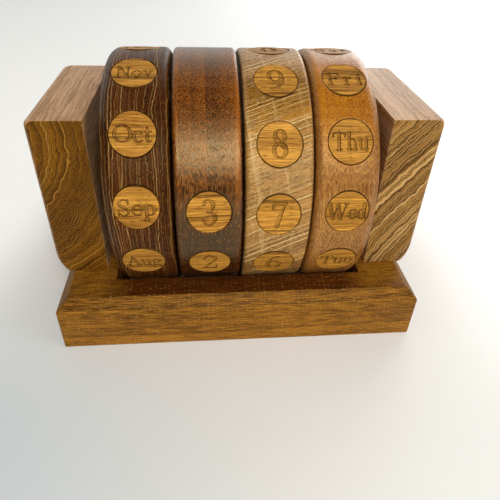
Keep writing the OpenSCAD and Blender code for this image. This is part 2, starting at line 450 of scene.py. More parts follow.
def fibres(graph: Graph, board: Value, length: Value, width: Value, contrast: Value) -> list[Value]:
    """Fibres: noise stretched along the grain, n(x / length, y / width, z / width), from 0 to 1."""
    strand = (board / graph.combine(length, width, width)).noise(3.0, 0.6)
    return [((strand - 0.5) * contrast).apply("ADD", 0.5, clamp=True)]


def pores(graph: Graph, board: Value, length: Value, width: Value, size: Value, density: Value) -> list[Value]:
    """Open pores: dashes along the grain round the seeds of stretched Voronoi cells, some left out.

    Pore = 1 - smoothstep(0.4 size, size, distance) where the cell's random number is below density.
    """
    inputs = {"Vector": board / graph.combine(length, width, width), "Scale": 1.0, "Randomness": 1.0}
    distance, shade = graph.node("ShaderNodeTexVoronoi", inputs, ("Distance", "Color"))
    return [(1.0 - distance.ramp(size * 0.4, size)) * shade.split()[0].apply("LESS_THAN", density)]


VECTOR_INPUTS = ("board", "along", "across", "layers", "heart")
GROUPS = {
    "board": new_group(board_space, ("board",), "NodeSocketVector"),
    "growth": new_group(growth_layers, ("layer", "tint", "early", "late")),
    "fibre": new_group(fibres, ("fibre",)),
    "pore": new_group(pores, ("pore",)),
}


def colour(text: str) -> tuple[float, float, float, float]:
    """A linear colour from a hexadecimal sRGB one, by the sRGB curve."""
    parts = [int(text[i:i + 2], 16) / 255 for i in (1, 3, 5)]
    return (*(c / 12.92 if c <= 0.04045 else ((c + 0.055) / 1.055) ** 2.4 for c in parts), 1.0)


def new_material(name: str) -> tuple[bpy.types.Material, Graph, bpy.types.Node]:
    """A new material with its graph and its Principled shader."""
    made = bpy.data.materials.new(name)
    made.use_nodes = True
    return made, Graph(made.node_tree), made.node_tree.nodes["Principled BSDF"]


# ---------------------------------------------------------------- finishes

FLAT_RING = 3000.0
WARM_GLOSS = (1.0, 0.76, 0.4, 1.0)
FIBRE_CONTRAST = 2.6
MOTTLE_STRETCH = (57.2, 20.8, 20.8)
MOTTLE_DISTORTION = 0.6
# Width over which the painted shade on the base's top fades out past its reach.
REACH_BLEND = 22.0
RELIEF_DISTANCE = 0.4 * MM
ROUGHNESS_SPREAD = 0.14
FIBRE_DEPTH = 0.5
LINE_DEPTH = 0.3
FAINTEST = 0.2
PORE_MATTE = 0.25
CUT_MATTE = 0.15
# Darkening of the engraving's floor, and painted shade along its walls, as shares of the cut shade.
FLOOR_STAIN = 0.28
WALL_STAIN = 0.72
WEAR = 0.2
ALONG_X = (1.0, 0.0, 0.0)
ALONG_Y = (0.0, 1.0, 0.0)
UP = (0.0, 0.0, 1.0)


@dataclass(frozen=True)
class Growth:
    """Growth layers of a board: sizes in millimetres, and how far they colour it.

    Tone and tint shift the wood's tone, within a layer and from one layer to the next. The late line
    lies just before a layer's start and the early line just after it.
    """

    spacing: float
    tone: float = 0.0
    tint: float = 0.0
    late: tuple[str, float] | None = None
    early: tuple[str, float] | None = None
    width: float = 0.4
    wander: float = 2.0
    reach: float = 40.0
    ripple: float = 0.3
    ripple_reach: float = 6.0
    uneven: float = 0.8
    seed: float = 0.0
    ring: float = FLAT_RING
    normal: Triple | None = None


@dataclass(frozen=True)
class Pores:
    """Open pores: dashes of this length and width in millimetres, cut into the surface."""

    shade: str
    strength: float = 0.6
    length: float = 4.0
    width: float = 0.7
    size: float = 0.32
    density: float = 0.6


@dataclass(frozen=True)
class Wood:
    """One kind of wood with its finish.

    The tone runs from dark to light and is worked out from growth layers, fibres and a slow mottle.
    A flank has its own dark and light, where the surface turns away from the face, which is the end grain unless
    another direction is given, or lies farther than its reach from the middle. On the base's top the face's tones
    within that reach are painted shade, and on the units wheel the face and flank tones are painted reflection.
    Lines and pores are laid over it, and the same pores and fibres shape the gloss and the relief.
    """

    name: str
    slot: str
    dark: str
    light: str
    along: Triple
    normal: Triple
    heart: Triple = (0.0, 0.0, 0.0)
    growth: tuple[Growth, ...] = ()
    pores: tuple[Pores, ...] = ()
    fibre_length: float = 12.0
    fibre_width: float = 0.6
    fibre: float = 0.5
    mottle: float = 0.35
    flank: tuple[str, str] | None = None
    flank_turn: tuple[float, float] = (0.6, 0.92)
    flank_lines: float = 0.25
    face: Triple | None = None
    # Within this reach from the middle along X the face keeps its tones; the base uses it to paint shade on its top.
    face_reach: float = 0.0
    roughness: float = 0.5
    specular: float = 0.24
    relief: float = 0.4
    cut_shade: str | None = None

    def board(self, graph: Graph, normal: Triple) -> Value:
        """The board-space vector: from the piece's own attribute if it is engraved, else from its place.

        Args:
            graph: The material's graph.
            normal: Direction across the growth layers.

        Returns:
            The vector.
        """
        if self.cut_shade is not None:
            return graph.node("ShaderNodeAttribute", output="Vector", attribute_name="board")
        along, layers = Vector(self.along).normalized(), Vector(normal).normalized()
        return graph.group("board", along=along, across=layers.cross(along).normalized(), layers=layers,
                           heart=self.heart)[0]

    def across(self, graph: Graph) -> Value:
        """How far the surface is the face and not a flank: smoothstep of |normal . face|, within its painted shade
        reach.

        Args:
            graph: The material's graph.

        Returns:
            The value, 1 on the face.
        """
        facing = graph.place("Normal").apply("DOT_PRODUCT", Vector(self.face or self.along).normalized())
        across = abs(facing).ramp(*self.flank_turn)
        if self.face_reach:
            far = abs(graph.place().split()[0])
            across = across * (1.0 - far.ramp(self.face_reach * MM, (self.face_reach + REACH_BLEND) * MM))
        return across

    @cache
    def material(self) -> bpy.types.Material:
        """Builds the material, once.

        tone = 1/2 + sum of strength (value - 1/2) over fibres, mottle, layers and tints, within 0 to 1.

        Returns:
            The material.
        """
        made, graph, shader = new_material(self.name)
        board = self.board(graph, self.normal)
        fibre, = graph.group("fibre", board=board, length=self.fibre_length, width=self.fibre_width,
                             contrast=FIBRE_CONTRAST)
        layers = [(growth, *graph.group("growth", growth, board=(
            self.board(graph, growth.normal) if growth.normal else board))) for growth in self.growth]
        mottle = (board / MOTTLE_STRETCH).noise(distortion=MOTTLE_DISTORTION)
        parts = [(fibre, self.fibre), (mottle, self.mottle * 2)]
        parts += [(layer, growth.tone) for growth, layer, *_ in layers]
        parts += [(tint, growth.tint) for growth, _, tint, *_ in layers]
        tone = sum(((value - 0.5) * strength for value, strength in parts if strength), 0.5)
        tone = tone.apply("ADD", 0.0, clamp=True)
        plain = 1.0
        shade = tone.mix(colour(self.dark), colour(self.light))
        if self.flank is not None:
            across = self.across(graph)
            shade = across.mix(tone.mix(*map(colour, self.flank)), shade)
            plain = across * (1.0 - self.flank_lines) + self.flank_lines
        gloss = (fibre - 0.5) * ROUGHNESS_SPREAD
        height = fibre * FIBRE_DEPTH
        for growth, _, tint, early, late in layers:
            faint = (tint * (1.0 - FAINTEST) + FAINTEST) * plain
            for value, line in ((late, growth.late), (early, growth.early)):
                if line is not None:
                    mask = value * faint * line[1]
                    shade = mask.mix(shade, colour(line[0]))
                    height = height - mask * LINE_DEPTH
        for kind in self.pores:
            pore = graph.group("pore", kind, board=board)[0] * kind.strength
            shade = pore.mix(shade, colour(kind.shade))
            height = height - pore
            gloss = gloss + pore * PORE_MATTE
        if self.cut_shade is not None:
            cut = graph.node("ShaderNodeAttribute", output="Fac", attribute_name="cut")
            # Under the lettering the floor is darkened and the walls get a line of painted shade; on the plug's eased
            # edge the same darkening is painted shadow of the gap round the plug, with dirt.
            stain = cut * FLOOR_STAIN + cut * (1.0 - cut) * 4.0 * WALL_STAIN
            shade = stain.mix(shade, colour(self.cut_shade))
            gloss = gloss + cut * CUT_MATTE
        bump = {"Strength": self.relief, "Distance": RELIEF_DISTANCE, "Height": height}
        graph.feed(shader, {
            "Base Color": shade, "Roughness": gloss.apply("ADD", self.roughness, clamp=True),
            "Normal": graph.node("ShaderNodeBump", bump, "Normal"),
            "Specular IOR Level": self.specular, "Specular Tint": WARM_GLOSS})
        return made


@dataclass(frozen=True)
class Cloudy:
    """Two shades blended by one noise, and a roughness that another raises by up to a fifth.

    Each noise is given by its scale along and across X, its detail and its roughness.
    """

    name: str
    dark: str
    light: str
    cloud: tuple[float, float, float, float]
    wear: tuple[float, float, float, float]
    roughness: float
    metallic: float = 0.0

    @cache
    def material(self) -> bpy.types.Material:
        """Builds the material, once.

        Returns:
            The material.
        """
        made, graph, shader = new_material(self.name)
        cloud, wear = ((graph.place() * (along, across, across)).noise(detail, roughness)
                       for along, across, detail, roughness in (self.cloud, self.wear))
        graph.feed(shader, {"Base Color": cloud.mix(colour(self.dark), colour(self.light)),
                            "Roughness": wear * WEAR + self.roughness, "Metallic": self.metallic})
        return made


def in_wheel(elevation: float, slope: float = 0.0) -> Triple:
    """A direction in a wheel's plane that points out of the rim at this elevation, leaning along X by slope."""
    angle = math.radians(elevation)
    return (slope, -math.cos(angle), math.sin(angle))


def end_grain(side: str, dark: str, light: str, heart: Triple, flank: tuple[str, str], pores: str,
              *growth: Growth) -> Wood:
    """A block whose fibres run along Y, so that its front shows wavy end grain."""
    return Wood(f"endgrain_{side}", "block_endgrain", dark, light, ALONG_Y, UP, heart, growth,
                (Pores(pores, 0.6, 7.0, 0.6, 0.34, 0.6),), fibre_length=22.0, fibre=1.0, flank=flank)


class Finish(Enum):
    """The finishes of the calendar."""

    # Painted shade: the dark tones on the top, and on the bottom too, within about 66 mm of the middle along X stand
    # in for the wheels' shadow and their dark reflection on the top; the top's ends, the chamfer and the sides take
    # the flank tones.
    BASE = Wood(
        "oiled_teak", "base_teak", "#1e0902", "#643209", ALONG_X, (0.0, 0.35, 1.0), (20.0, -30.0, -18.0),
        (Growth(7.0, 0.2, 0.3, late=("#4a2808", 0.35), width=0.8, wander=6.0, reach=60.0, ripple=0.4,
                ripple_reach=9.0, seed=3.0),),
        (Pores("#3a1e06", 0.6, 7.0, 0.8, 0.34, 0.25), Pores("#3c2006", 0.6, 2.4, 0.6, 0.38, 0.5),
         Pores("#e0aa58", 0.4, 3.0, 0.6, 0.36, 0.4)),
        fibre_width=0.55, fibre=1.1, mottle=0.3, flank=("#482706", "#aa7220"), flank_turn=(0.8, 0.97),
        face=UP, face_reach=66.0)
    BLOCK_LEFT = end_grain(
        "left", "#3e2102", "#885508", (-160.0, 0.0, 130.0), ("#94683c", "#dfb288"), "#2a1404",
        Growth(1.8, -0.2, 0.45, ("#200e02", 1.0), ("#c0903e", 0.8), 0.5, ring=0.0, wander=3.5, reach=30.0,
               ripple=1.9, ripple_reach=5.0, uneven=1.8, seed=1.0))
    BLOCK_RIGHT = end_grain(
        "right", "#4e300b", "#ac7c3a", (354.0, 0.0, -103.0), ("#9a6e44", "#deb48c"), "#341a06",
        Growth(1.9, -0.35, 0.7, ("#241002", 1.0), ("#f0ca8c", 1.0), 0.58, ring=0.0, wander=3.5, ripple=1.9,
               uneven=2.0, seed=2.0),
        Growth(7.0, 0.1, 0.5, late=("#2c1604", 0.85), width=2.2, ring=0.0, wander=3.5, ripple=1.9,
               uneven=1.6, seed=2.0))
    MONTH = Wood(
        "dark_ring_wood", "month_wood", "#1a0600", "#562303", in_wheel(100.0), ALONG_X, (-52.0, 0.0, 85.0),
        (Growth(2.4, 0.3, 0.3, ("#120500", 0.9), ("#d2a662", 1.0), 0.45, wander=3.0, reach=22.0,
                ripple=0.8, ripple_reach=3.0, uneven=2.0, seed=4.0),
         Growth(1.1, 0.0, 0.3, ("#140600", 0.7), ("#8c5e28", 0.7), wander=3.0, reach=22.0, ripple=0.7,
                ripple_reach=3.0, uneven=1.6, seed=4.6)),
        (Pores("#9c7238", 0.5, 4.0, 0.7, 0.36, 0.3), Pores("#0e0400", 0.8, 4.0, 0.8, 0.38, 0.5)),
        fibre=0.9, roughness=0.36, specular=0.22, relief=0.6)
    TENS = Wood(
        "reddish_walnut", "tens_wood", "#361503", "#a45c14", in_wheel(100.0), ALONG_X, (-20.0, 0.0, 85.0),
        (Growth(4.0, 0.2, 0.7, late=("#2c1206", 0.5), width=1.4, reach=50.0, uneven=1.4, seed=1.0),),
        (Pores("#4a2208", 0.6, 5.0, 0.7, 0.42, 0.5), Pores("#f4b050", 0.28, 6.0, 0.6, 0.36, 0.4)),
        fibre=1.2, mottle=0.4, roughness=0.27, specular=0.9, flank=("#1c0a02", "#4c260e"),
        face=in_wheel(54.0))
    # Painted reflection: the darker face tones in a band round 53 degrees of elevation and the paler flank tones on
    # the rest of the rim stand in for a dim reflection in that band and bright reflections of the wall above it and
    # of the front lamp below it; the fibres run along X, so this is no end grain.
    UNITS = Wood(
        "tan_oak", "units_wood", "#503006", "#ae720e", ALONG_X, in_wheel(125.0, -0.38), (20.0, 0.0, 85.0),
        (Growth(5.0, 0.1, 0.35, ("#4e2e0a", 0.55), ("#fcdc98", 1.0), 0.8, wander=1.5, reach=24.0,
                ripple=0.35, ripple_reach=4.0, uneven=2.2, seed=7.0),
         Growth(1.9, 0.0, 0.2, ("#4c2c0a", 0.6), ("#ecc482", 0.35), 0.45, wander=1.5, reach=24.0,
                ripple=0.25, uneven=1.4, seed=9.0),
         Growth(15.0, early=("#ecca90", 0.35), width=2.0, normal=(1.0, 0.1, 0.1), wander=4.0, reach=34.0,
                ripple=1.4, ripple_reach=3.0, uneven=1.0, seed=5.0)),
        (Pores("#54330c", 0.65, 1.6, 0.8, 0.36, 0.45), Pores("#f4d698", 0.5, 3.0, 0.6, 0.34, 0.35)),
        fibre_length=6.0, fibre_width=0.55, fibre=0.8, roughness=0.3, specular=0.85, relief=0.6,
        flank=("#603c18", "#c89048"), flank_turn=(0.93, 0.985), flank_lines=1.0, face=in_wheel(53.0))
    WEEKDAY = Wood(
        "orange_brown_wood", "weekday_wood", "#763a02", "#ce820c", in_wheel(100.0), ALONG_X,
        (60.0, 0.0, 85.0),
        (Growth(6.0, 0.1, 0.2, late=("#4c2406", 0.3), width=1.2, uneven=1.0, seed=5.0),),
        (Pores("#3a1603", 0.85, 5.0, 0.7, 0.38, 0.5), Pores("#ffc45c", 0.5, 6.0, 0.6, 0.36, 0.4)),
        fibre_length=16.0, fibre=0.9, roughness=0.29, specular=0.8, relief=0.5,
        flank=("#6a3a12", "#b67c3a"), flank_turn=(0.75, 0.97), face=in_wheel(60.0))
    PLUG = Wood(
        "honey_wood", "plug_wood", "#6c3c0a", "#e4a544", ALONG_X, (0.0, 0.6, 0.8),
        growth=(Growth(3.0, 0.3, 0.4, late=("#5e340a", 0.55), width=0.8, wander=2.5, reach=22.0,
                       ripple=0.5, uneven=1.8, seed=3.0),
                Growth(17.0, late=("#4a2c10", 0.85), width=3.0, wander=3.5, reach=20.0, ripple=0.8,
                       uneven=1.0, seed=6.0)),
        pores=(Pores("#4a2806", 0.7, 5.0, 0.7, 0.36, 0.5),), fibre_length=16.0, fibre_width=0.55,
        fibre=0.8, roughness=0.48, cut_shade="#241002")
    DOWEL = Wood("pale_dowel", "dowel", "#a57a48", "#d2aa74", ALONG_X, UP, fibre_length=22.0,
                 roughness=0.55)
    COLLAR = Wood("turned_collar", "collar_wood", "#3a2010", "#6e4624", ALONG_Y, UP,
                  pores=(Pores("#1e0f06", 0.5),), fibre_length=22.0)
    FIBRE = Cloudy("pressed_fibre", "#b9ad94", "#e2d9c4", (900, 900, 4.0, 0.7), (900, 900, 4.0, 0.7), 0.65)
    BRASS = Cloudy("turned_brass", "#8f6f34", "#c9a860", (300, 300, 3.0, 0.6), (400, 6000, 2.0, 0.5), 0.25,
                   metallic=1.0)


def hand_over(piece: Piece, node: str, body: str, finish: Finish) -> Piece:
    """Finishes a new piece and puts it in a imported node's place.

    Args:
        piece: The new piece.
        node: The node that it replaces.
        body: The body that it rides.
        finish: Its wood.

    Returns:
        The piece.
    """
    piece.data.materials.append(finish.value.material())
    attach(piece, body)
    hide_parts(node)
    return piece


# ---------------------------------------------------------------- letters

# Pens work in hundredths of a capital's height, and each gives rows of x, y and width
THICK = 18.0
THIN = 6.5
MIDLINE = 48.0
LEAST_STRETCH, MOST_STRETCH = 1.06, 1.25


def line(x0: float, y0: float, x1: float, y1: float, width: float = THICK) -> list[np.ndarray]:
    """A straight stroke."""
    return [np.array([[x0, y0, width], [x1, y1, width]])]


def hairline(x0: float, y0: float, x1: float, y1: float) -> list[np.ndarray]:
    """A thin straight stroke."""
    return line(x0, y0, x1, y1, THIN)


def bar(x: float, y: float, half: float) -> list[np.ndarray]:
    """A thin level stroke round x, such as a serif."""
    return hairline(x - half, y, x + half, y)


def stem(x: float, low: float, high: float, foot: float = 13.0) -> list[np.ndarray]:
    """An upright with a foot serif."""
    return line(x, low, x, high) + bar(x, low, foot)


def flag(x: float, y: float) -> list[np.ndarray]:
    """The slanted serif at the top left of a small letter's upright."""
    return hairline(x - 13.0, y - 5.0, x, y)


def bowl(x: float, y: float, rx: float, ry: float, start: float = 0.0, end: float = 360.0,
         thick: float = THICK) -> list[np.ndarray]:
    """An oval stroke, heavy at its sides: (x + rx cos t, y + ry sin t), width thin + (thick - thin) cos^2 t."""
    t = np.radians(np.linspace(start, end, 33))
    width = THIN + (thick - THIN) * np.cos(t) ** 2
    return [np.stack([x + rx * np.cos(t), y + ry * np.sin(t), width], axis=-1)]


def brush(*numbers: float) -> list[np.ndarray]:
    """A free stroke: a Catmull-Rom curve through knots of x, y and width.

    C(t) = (2 B + (C - A) t + (2 A - 5 B + 4 C - D) t^2 + (3 B - A - 3 C + D) t^3) / 2

    Args:
        numbers: The knots' numbers, one knot after another.

    Returns:
        The stroke.
    """
    knots = np.reshape(numbers, (-1, 3))
    p = np.concatenate([knots[:1], knots, knots[-1:]])
    t = np.linspace(0, 1, 9)[:, None]
    return [np.concatenate([
        0.5 * (2 * b + (c - a) * t + (2 * a - 5 * b + 4 * c - d) * t ** 2 + (3 * b - a - 3 * c + d) * t ** 3)
        for a, b, c, d in zip(p, p[1:], p[2:], p[3:])])]


PENS = {"l": line, "h": hairline, "b": bar, "s": stem, "f": flag, "o": bowl, "c": brush}

# Each sign's width, then its strokes: a pen's letter and its numbers, with the line it stands on at 0
SIGNS = {
    "J": "52; l 33 24 33 100; b 33 100 16; c 33 26 15, 29 4 10, 14 0 6, 5 12 12",
    "F": "66; s 20 0 100; b 34 98 28; h 62 98 64 78; b 34 52 15; h 50 42 50 62",
    "M": "106; h 20 0 20 100; b 20 0 12; b 18 100 10; l 22 98 54 6 14; h 54 6 84 98; s 87 0 100; b 90 100 10",
    "A": "86; h 14 2 43 100; l 43 98 74 2; b 14 0 12; b 74 0 15; b 42 34 18",
    "S": "62; c 52 80 5, 42 97 6, 26 99 6, 10 84 13, 16 62 16, 40 44 17, 53 26 14, 42 4 7, 24 0 5, 8 20 5; h 52 98 "
         "52 72; h 7 2 7 30",
    "O": "90; o 45 50 37 48",
    "N": "92; h 20 0 20 100; b 20 0 12; b 17 100 11; l 21 99 73 2; h 73 0 73 100; b 73 100 12",
    "D": "88; s 20 0 100; b 30 100 24; b 30 0 22; o 42 50 38 49 -90 90",
    "T": "80; s 40 0 100 15; b 40 98 32; h 8 98 6 76; h 72 98 74 76",
    "W": "122; l 10 100 37 2; h 37 4 60 98; l 58 100 84 2; h 84 4 110 100; b 12 100 13; b 58 100 12; b 110 100 11",
    "a": "52; l 37 8 37 46; c 37 46 13, 30 63 6, 16 62 6, 9 50 12; c 36 38 5, 16 30 8, 9 16 14, 17 2 7, 34 10 5; h "
         "38 6 48 2",
    "b": "62; l 16 2 16 100; f 16 100; o 33 32 20 31 -130 130",
    "c": "50; o 29 32 21 31 55 310; c 40 50 12, 42 53 12",
    "d": "62; l 44 0 44 100; f 44 100; o 28 32 20 31 50 310; h 46 2 56 2",
    "e": "52; o 29 32 21 31 5 315; h 12 36 48 36",
    "g": "58; o 26 42 17 21; o 28 -14 23 14 0 360 10; c 16 24 5, 10 14 8, 20 4 10, 40 0 12; l 40 56 54 62 8",
    "h": "66; s 17 0 100 12; f 17 100; s 50 0 42 12; c 18 42 5, 28 60 6, 42 62 9, 50 42 15",
    "i": "34; s 18 0 62 12; f 18 62; l 18 86 18 87 16",
    "l": "34; s 18 0 100 12; f 18 100",
    "n": "66; s 17 0 62 12; f 17 62; s 50 0 42 12; c 18 42 5, 28 60 6, 42 62 9, 50 42 15",
    "o": "60; o 30 32 22 31",
    "p": "62; s 17 -30 62 13; f 17 62; o 34 32 20 31 -130 130",
    "r": "48; s 17 0 62 13; f 17 62; c 18 40 5, 28 58 6, 40 58 12",
    "t": "42; c 18 84 10, 18 50 15, 18 16 15, 25 1 7, 38 10 4; b 21 62 16",
    "u": "66; l 16 20 16 62; f 16 62; l 48 0 48 62; f 48 62; c 16 22 15, 22 2 8, 34 2 6, 48 20 5; h 50 2 60 2",
    "v": "60; l 12 61 30 2 14; h 30 4 48 61; b 12 62 10; b 48 62 9",
    "y": "60; l 12 61 31 4 14; c 48 61 5, 30 4 6, 18 -26 7, 6 -24 12; b 12 62 10; b 48 62 9",
    "0": "60; o 30 50 22 47",
    "1": "50; l 27 2 27 98 14; b 27 0 16; h 27 97 10 84",
    "2": "60; c 10 76 12, 16 93 7, 30 97 6, 47 84 13, 45 62 14, 28 36 8, 10 6 6; l 10 6 50 6 12; h 50 6 54 24",
    "3": "58; c 12 80 12, 18 95 6, 32 96 7, 43 78 13, 38 58 8, 22 52 5; c 22 52 5, 40 46 8, 49 26 15, 36 3 7, 18 3 "
         "6, 10 18 12",
    "4": "62; h 42 98 8 32; h 8 30 56 30; s 42 0 98",
    "5": "58; l 16 94 46 94 10; h 15 94 13 56; c 13 55 5, 30 62 6, 46 48 13, 48 24 15, 34 3 7, 17 3 6, 9 18 12",
    "6": "60; c 48 90 5, 26 84 9, 11 56 15, 11 28 15; o 31 29 21 27 0 360 14",
    "7": "58; l 10 92 50 92 12; h 9 92 8 72; c 50 92 6, 36 52 12, 24 3 15",
    "8": "58; o 29 75 16 21 0 360 12; o 29 27 20 25 0 360 13; c 14 70 13, 28 52 15, 47 34 13",
    "9": "60; c 12 8 5, 34 14 9, 49 42 15, 49 70 15; o 29 70 21 27 0 360 14",
}


def drawn(sign: str) -> tuple[float, list[np.ndarray]]:
    """A sign's width and its strokes."""
    width, *strokes = (part.replace(",", "").split() for part in SIGNS[sign].split(";"))
    return float(width[0]), [row for pen, *numbers in strokes for row in PENS[pen](*map(float, numbers))]


@dataclass(frozen=True)
class Label:
    """A word or number: the height of its capitals and, for a word, its length in millimetres."""

    text: str
    height: float
    length: float = 0.0

    def distance(self, x: np.ndarray, y: np.ndarray) -> np.ndarray:
        """Distance from each point to the edge of the lettering, negative inside, in millimetres.

        The least over all pen segments AB of |P - A - t (B - A)| - (w_A + t (w_B - w_A)) / 2, where
        t = clamp((P - A).(B - A) / |B - A|^2, 0, 1).

        Args:
            x: Places along the face, to the right.
            y: Places along the face, upward.

        Returns:
            The distances, of the same shape.
        """
        scale = self.height / 100
        signs = [drawn(sign) for sign in self.text]
        natural = sum(width for width, _ in signs)
        stretch = min(MOST_STRETCH, max(LEAST_STRETCH, self.length / scale / natural))
        spread = max(0.0, self.length / scale - natural * stretch) / max(1, len(signs) - 1)
        pen = -(natural * stretch + spread * (len(signs) - 1)) / 2
        places = np.stack([x, y], axis=-1)[..., None, :] / scale
        nearest = np.full(x.shape, np.inf)
        for width, strokes in signs:
            for stroke in strokes:
                moved = stroke * (stretch, 1.0, 1.0) + (pen, -MIDLINE, 0.0)
                start, end = moved[:-1], moved[1:]
                run = end[:, :2] - start[:, :2]
                length = np.maximum((run ** 2).sum(axis=-1), 1e-5)
                t = np.clip(((places - start[:, :2]) * run).sum(axis=-1) / length, 0, 1)
                gap = np.linalg.norm(places - start[:, :2] - t[..., None] * run, axis=-1)
                half = (start[:, 2] + t * (end[:, 2] - start[:, 2])) / 2
                nearest = np.minimum(nearest, (gap - half).min(axis=-1))
            pen += width * stretch + spread
        return nearest * scale


# ---------------------------------------------------------------- wheels and plugs

@dataclass
class Plug:
    """A round plug with an engraved label, set in a wheel's rim."""

    node: str
    label: Label
    body: str
    cells: int = 128
    edge: float = 0.4
    pocket: float = 0.6
    wall: float = 0.42
    # How dark the plug's eased edge turns: painted shadow of the gap round the plug, with dirt.
    worn: float = 0.5
    board_step: float = 31.0
    board_shift: float = 3.7

    def __post_init__(self) -> None:
        """Reads the middle, radius and elevation from the solid, and how far out its back and face are."""
        points = np.unique(points_of(frame["nodes"][self.node].data).round(4), axis=0) - (0, 0, AXLE_HEIGHT)
        _, y, z = points.mean(axis=0)
        self.elevation = math.atan2(z, -y)
        self.sine, self.cosine = math.sin(self.elevation), math.cos(self.elevation)
        low, high = points[:, 0].min(), points[:, 0].max()
        self.middle, self.radius = (high + low) / 2, (high - low) / 2
        reach = points[:, 1:] @ (-self.cosine, self.sine)
        self.back, self.face = reach.min(), reach.max()

    def on_wheel(self, x: np.ndarray, y: np.ndarray, level: np.ndarray) -> np.ndarray:
        """Places points of the plug's own frame: P = axle + x X + y up + level out.

        Args:
            x: Places to the right.
            y: Places up along the rim.
            level: Distances from the axle.

        Returns:
            The points, in millimetres.
        """
        return np.stack([self.middle + x, y * self.sine - level * self.cosine,
                         AXLE_HEIGHT + y * self.cosine + level * self.sine], axis=-1)

    def make(self) -> Piece:
        """Builds the plug: a face of square cells bent to a disc, an eased edge, a wall and a back.

        The square (a, b) goes to radius max(|a|, |b|) and angle (pi / 4) (smaller / larger), and the
        face sinks by pocket s((wall / 2 - distance) / wall) under the lettering, with s a smooth step.

        Returns:
            The new piece.
        """
        a, b = np.meshgrid(*[np.linspace(-1, 1, self.cells + 1)] * 2)
        wide = np.abs(a) >= np.abs(b)
        larger = np.where(wide, a, b)
        ratio = np.where(wide, b, a) / np.where(larger == 0, 1, larger)
        turn = np.where(wide, ratio, 2 - ratio) * math.pi / 4
        flat = self.radius - self.edge
        x, y = larger * flat * np.cos(turn), larger * flat * np.sin(turn)
        cut = np.clip(0.5 - self.label.distance(x, y) / self.wall, 0, 1)
        cut = cut * cut * (3 - 2 * cut)
        draft = Draft()
        draft.add_grid(self.on_wheel(x, y, self.face - self.pocket * cut), values=cut)
        disc = np.stack([x, y], axis=-1)
        border = np.concatenate([disc[0, :-1], disc[:-1, -1], disc[-1, :0:-1], disc[:0:-1, 0]])
        quarter = np.radians(np.linspace(0, 90, BEND_STEPS))
        out = np.concatenate([flat + self.edge * np.sin(quarter), [self.radius, flat]])[:, None]
        level = np.concatenate([self.face - self.edge + self.edge * np.cos(quarter),
                                [self.back + self.edge, self.back]])[:, None]
        x, y = border.T / flat
        # The eased edge darkens toward the hole: painted shadow of the gap, with dirt.
        worn = self.worn * np.clip(np.arange(len(out)) / 3, 0, 1)
        draft.add_grid(self.on_wheel(x * out, y * out, level), True, np.repeat(worn, len(border)), caps=(-1,))
        piece = draft.build(self.node.replace("plug", "label"))
        self.cut_from_board(piece.data)
        return hand_over(piece, self.node, self.body, Finish.PLUG)

    def cut_from_board(self, mesh: bpy.types.Mesh) -> None:
        """Stores each point's place in the plug's own board, so that its grain runs along the face.

        The board place is the plug's own x, y and depth, moved by a step for each plug's place round the
        wheel, as if the plugs were cut one after another.

        Args:
            mesh: The plug's mesh.
        """
        x, y, z = (points_of(mesh) - (self.middle, 0, AXLE_HEIGHT)).T
        step = math.degrees(self.elevation) + self.middle
        board = np.stack([x + self.board_step * step, z * self.sine - y * self.cosine - self.face,
                          y * self.sine + z * self.cosine + self.board_shift * step], axis=-1)
        mesh.attributes.new("board", "FLOAT_VECTOR", "POINT")
        mesh.attributes["board"].data.foreach_set("vector", board.astype(np.float32).ravel())


